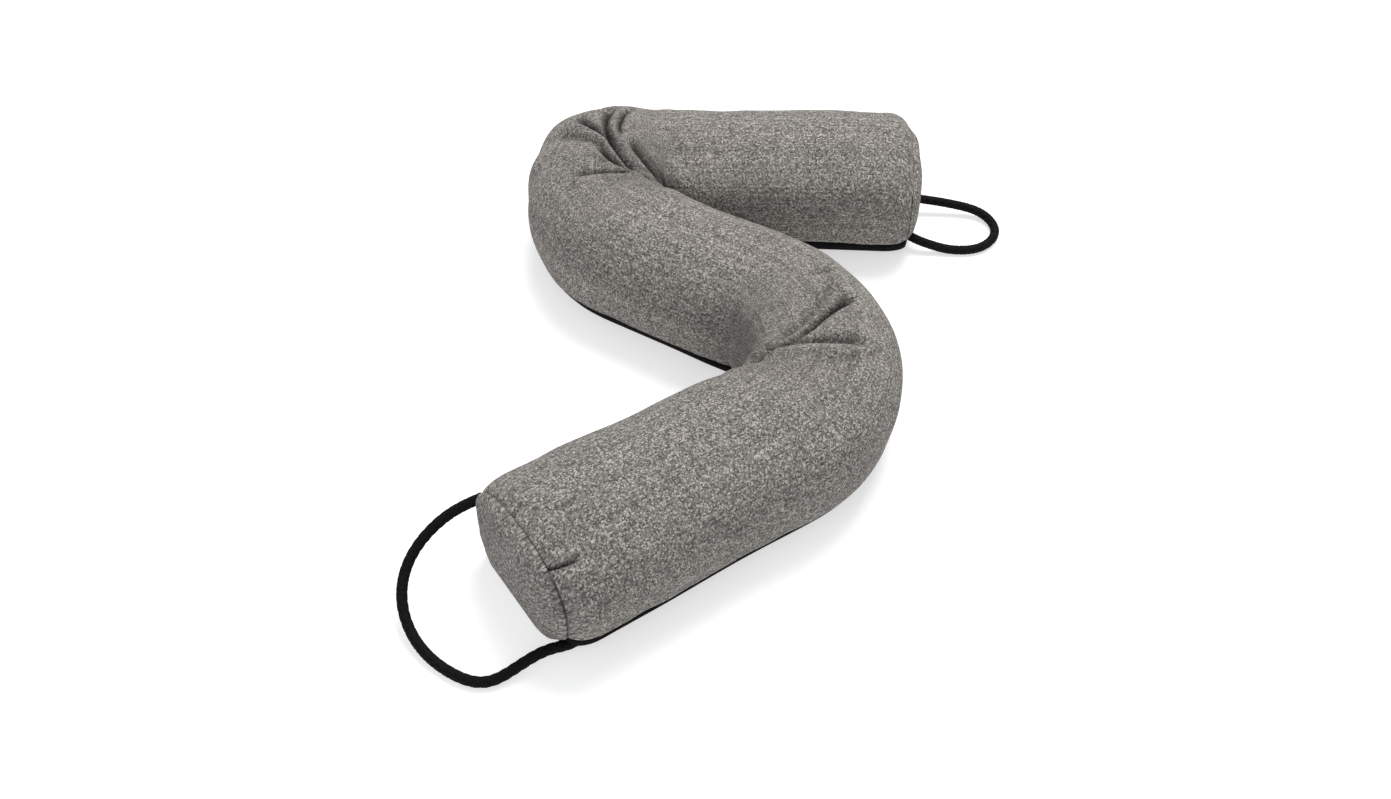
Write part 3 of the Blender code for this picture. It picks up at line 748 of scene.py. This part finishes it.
def weave_group():
    """Inputs: Vector in metres, Pitch in metres. Outputs: Tone, a value from 0 to 1 for the yarn seen at
    a point, and Height, the round top of that yarn. A noise first moves each point a little, so that the
    yarns wander. Yarn numbers are the whole parts of the vector over the pitch. Tone is a weighted sum:
    each yarn reads its own row of a noise that is stretched along it, for thick and thin stretches; each
    crossing has a tone of its own from white noise, for the flecks; and so has each row of crossings."""
    tree = bpy.data.node_groups.new("linen_weave", "ShaderNodeTree")
    tree.interface.new_socket("Vector", in_out="INPUT", socket_type="NodeSocketVector")
    pitch = tree.interface.new_socket("Pitch", in_out="INPUT", socket_type="NodeSocketFloat")
    pitch.default_value = 0.001
    tree.interface.new_socket("Tone", in_out="OUTPUT", socket_type="NodeSocketFloat")
    tree.interface.new_socket("Height", in_out="OUTPUT", socket_type="NodeSocketFloat")
    given, out = tree.nodes.new("NodeGroupInput"), tree.nodes.new("NodeGroupOutput")
    wobble = node(tree, "ShaderNodeTexNoise",
                  {"Vector": given.outputs["Vector"], "Scale": WOBBLE_SCALE, "Detail": 1.0})
    centred = node(tree, "ShaderNodeVectorMath", {0: wobble.outputs["Color"], 1: (0.5, 0.5, 0.5)},
                   operation="SUBTRACT")
    shift = node(tree, "ShaderNodeVectorMath", {0: centred.outputs[0], "Scale": WOBBLE},
                 operation="SCALE")
    moved = node(tree, "ShaderNodeVectorMath", {0: given.outputs["Vector"], 1: shift.outputs[0]},
                 operation="ADD")
    split = node(tree, "ShaderNodeSeparateXYZ", {0: moved.outputs[0]})
    x = sums(tree, "DIVIDE", split.outputs[0], given.outputs["Pitch"])
    y = sums(tree, "DIVIDE", split.outputs[1], given.outputs["Pitch"])
    row, other = sums(tree, "FLOOR", y), sums(tree, "FLOOR", x)
    tones, tops = [], []
    for along, across, number, seed in ((x, y, row, 0.0), (y, x, other, OTHER_SET)):
        spot = node(tree, "ShaderNodeCombineXYZ", {0: sums(tree, "MULTIPLY", along, YARN_STRETCH),
                                                   1: sums(tree, "MULTIPLY", number, ROW_APART), 2: seed})
        noise = node(tree, "ShaderNodeTexNoise", {"Vector": spot.outputs[0], "Scale": 1.0, "Detail": 1.0})
        tones.append(noise.outputs["Fac"])
        tops.append(sums(tree, "ABSOLUTE", sums(tree, "SINE", sums(tree, "MULTIPLY", across, np.pi))))
    odd = sums(tree, "FLOORED_MODULO", sums(tree, "ADD", row, other), 2.0)
    yarn = node(tree, "ShaderNodeMix", {0: odd, 2: tones[0], 3: tones[1]})
    height = node(tree, "ShaderNodeMix", {0: odd, 2: tops[0], 3: tops[1]})
    crossing = node(tree, "ShaderNodeCombineXYZ", {0: other, 1: row, 2: 0.0})
    chance = node(tree, "ShaderNodeTexWhiteNoise", {"Vector": crossing.outputs[0]})
    thread = node(tree, "ShaderNodeTexWhiteNoise", {"W": row}, noise_dimensions="1D")
    own = sums(tree, "MULTIPLY", yarn.outputs[0], TONE_OF_YARN)
    flecks = sums(tree, "MULTIPLY_ADD", chance.outputs["Value"], TONE_OF_CROSSING, own)
    tone = sums(tree, "MULTIPLY_ADD", thread.outputs["Value"], TONE_OF_ROW, flecks)
    tree.links.new(tone, out.inputs["Tone"])
    tree.links.new(height.outputs[0], out.inputs["Height"])
    return tree


WEAVE = weave_group()
print("nodes in the weave group:", len(WEAVE.nodes))

# %% [markdown]
# ## The three finishes
# Grey cloth: the tone of each yarn picks a colour on a ramp from charcoal over warm grey to oatmeal, a
# wide soft noise makes patches a little lighter or darker, painted shade from the cover's crease
# attribute darkens the bottom of the creases, and the yarn's height gives the bump. Black strip: the
# same weave, finer, nearly black. Cord: nearly black strands with a faint streak along each.

# %% Grey cloth
PATCH_SCALE, PATCH_LOW, PATCH_HIGH = 28.0, 0.95, 1.05
# painted shade: the colour at the bottom of a fully tucked-in crease is multiplied down to this
PAINTED_FOLD_SHADE = 0.03


def cloth_material(name, pitch, stops, bump, sheen, shine):
    """Weave tone -> colour ramp -> patches and painted crease shade -> Principled, and weave height -> Bump
    ->
    Normal. A piece with no crease shade attribute reads 0 there and stays as it is."""
    material = bpy.data.materials.new(name)
    material.use_nodes = True
    tree = material.node_tree
    shader = tree.nodes["Principled BSDF"]
    shader.inputs["Roughness"].default_value = 0.95
    shader.inputs["Specular IOR Level"].default_value = shine
    shader.inputs["Sheen Weight"].default_value = sheen
    shader.inputs["Sheen Roughness"].default_value = 0.6
    uv = node(tree, "ShaderNodeUVMap", uv_map="cloth")
    weave = node(tree, "ShaderNodeGroup", node_tree=WEAVE)
    tree.links.new(uv.outputs[0], weave.inputs["Vector"])
    weave.inputs["Pitch"].default_value = pitch
    ramp = node(tree, "ShaderNodeValToRGB", {"Fac": weave.outputs["Tone"]})
    ramp.color_ramp.elements[0].position, ramp.color_ramp.elements[1].position = stops[0][0], stops[-1][0]
    for place_at, colour in stops[1:-1]:
        ramp.color_ramp.elements.new(place_at).color = (*colour, 1.0)
    ramp.color_ramp.elements[0].color = (*stops[0][1], 1.0)
    ramp.color_ramp.elements[len(stops) - 1].color = (*stops[-1][1], 1.0)
    patch = node(tree, "ShaderNodeTexNoise",
                 {"Vector": uv.outputs[0], "Scale": PATCH_SCALE, "Detail": 3.0})
    lift = node(tree, "ShaderNodeMapRange",
                {"Value": patch.outputs["Fac"], "From Min": 0.3, "From Max": 0.7,
                 "To Min": PATCH_LOW, "To Max": PATCH_HIGH})
    # painted shade: the cover's crease attribute darkens the colour at the bottom of the creases
    fold_and_shade = node(tree, "ShaderNodeAttribute", attribute_name="fold_and_shade")
    dark = node(tree, "ShaderNodeMapRange",
                {"Value": fold_and_shade.outputs["Fac"], "To Min": 1.0, "To Max": PAINTED_FOLD_SHADE})
    both = sums(tree, "MULTIPLY", lift.outputs[0], dark.outputs[0])
    grey = node(tree, "ShaderNodeMix", {0: 1.0, 6: ramp.outputs["Color"], 7: both},
                data_type="RGBA", blend_type="MULTIPLY")
    tree.links.new(grey.outputs[2], shader.inputs["Base Color"])
    relief = node(tree, "ShaderNodeBump",
                  {"Strength": 0.8, "Distance": bump, "Height": weave.outputs["Height"]})
    tree.links.new(relief.outputs[0], shader.inputs["Normal"])
    return material


grey_cloth = cloth_material(
    "grey_linen", pitch=0.0009,
    stops=((0.26, (0.085, 0.078, 0.071)), (0.42, (0.178, 0.166, 0.153)), (0.6, (0.25, 0.234, 0.217)),
           (0.78, (0.49, 0.462, 0.43))),
    bump=0.0003, sheen=0.03, shine=0.12,
)
for piece in [cover] + caps:
    piece.data.materials.append(grey_cloth)

# %% Black strip and cord
black_cloth = cloth_material(
    "black_strip", pitch=0.0007,
    stops=((0.3, (0.002, 0.002, 0.002)), (0.5, (0.005, 0.005, 0.005)), (0.7, (0.012, 0.012, 0.013))),
    bump=0.0002, sheen=0.0, shine=0.04,
)
strip.data.materials.append(black_cloth)


def cord_material():
    """Nearly black strands: a fine noise stretched along the cord gives yarn streaks and a small bump."""
    material = bpy.data.materials.new("black_cord")
    material.use_nodes = True
    tree = material.node_tree
    shader = tree.nodes["Principled BSDF"]
    shader.inputs["Specular IOR Level"].default_value = 0.08
    uv = node(tree, "ShaderNodeUVMap", uv_map="cloth")
    stretch = node(tree, "ShaderNodeMapping", {"Vector": uv.outputs[0], "Scale": (900.0, 2600.0, 1.0)})
    streak = node(tree, "ShaderNodeTexNoise", {"Vector": stretch.outputs[0], "Scale": 1.0, "Detail": 2.0})
    ramp = node(tree, "ShaderNodeValToRGB", {"Fac": streak.outputs["Fac"]})
    ramp.color_ramp.elements[0].color = (0.001, 0.001, 0.001, 1.0)
    ramp.color_ramp.elements[1].color = (0.009, 0.009, 0.010, 1.0)
    tree.links.new(ramp.outputs["Color"], shader.inputs["Base Color"])
    rough = node(tree, "ShaderNodeMapRange",
                 {"Value": streak.outputs["Fac"], "To Min": 0.5, "To Max": 0.8})
    tree.links.new(rough.outputs[0], shader.inputs["Roughness"])
    relief = node(tree, "ShaderNodeBump",
                  {"Strength": 0.6, "Distance": 0.0002, "Height": streak.outputs["Fac"]})
    tree.links.new(relief.outputs[0], shader.inputs["Normal"])
    return material


black_cord = cord_material()
for cord in (cord_back, cord_front):
    cord.data.materials.append(black_cord)
print("materials:", [m.name for m in (grey_cloth, black_cloth, black_cord)])

# %% [markdown]
# ## Floor and light
# The object lies on a plain white table in soft light from all round, with a large soft light behind it
# to the right, so that its shadows fall softly to the left and towards the viewer, and a weak one in
# front. The table glows a little itself, which keeps it nearly white under the soft shadows.

# %% The floor
FAR = 3.0
floor_mesh = bpy.data.meshes.new("floor")
floor_corners = [(-FAR, -FAR, 0.0), (FAR, -FAR, 0.0), (FAR, FAR, 0.0), (-FAR, FAR, 0.0)]
floor_mesh.from_pydata(floor_corners, [], [(0, 1, 2, 3)])
floor = bpy.data.objects.new("floor", floor_mesh)
bpy.context.collection.objects.link(floor)
floor_paint = bpy.data.materials.new("floor_paint")
floor_paint.use_nodes = True
floor_shader = floor_paint.node_tree.nodes["Principled BSDF"]
floor_shader.inputs["Base Color"].default_value = (0.62, 0.62, 0.62, 1.0)
floor_shader.inputs["Emission Color"].default_value = (1.0, 1.0, 1.0, 1.0)
floor_shader.inputs["Emission Strength"].default_value = 0.56
floor_shader.inputs["Roughness"].default_value = 0.9
floor_shader.inputs["Specular IOR Level"].default_value = 0.0
floor_mesh.materials.append(floor_paint)
print("the table reaches", FAR, "m to each side")

# %% World and lamps
world = bpy.data.worlds.new("soft_sky")
bpy.context.scene.world = world
world.use_nodes = True
world.node_tree.nodes["Background"].inputs["Color"].default_value = (0.96, 0.98, 1.0, 1.0)
world.node_tree.nodes["Background"].inputs["Strength"].default_value = 0.48


def soft_light(name, place_at, size, power, colour):
    """A square area light that looks at the object."""
    data = bpy.data.lights.new(name, "AREA")
    data.size, data.energy, data.color = size, power, colour
    light = bpy.data.objects.new(name, data)
    bpy.context.collection.objects.link(light)
    light.location = place_at
    away = np.array(place_at)
    flat = np.hypot(away[0], away[1])
    light.rotation_euler = (np.arctan2(flat, away[2]), 0.0, np.arctan2(away[0], -away[1]))
    return light


soft_light("key", (0.3, 0.9, 1.8), 1.0, 42.0, (1.0, 0.99, 0.97))
soft_light("fill", (-0.5, -1.5, 1.3), 1.6, 9.5, (0.97, 0.98, 1.0))

bpy.context.scene.view_settings.view_transform = "Standard"
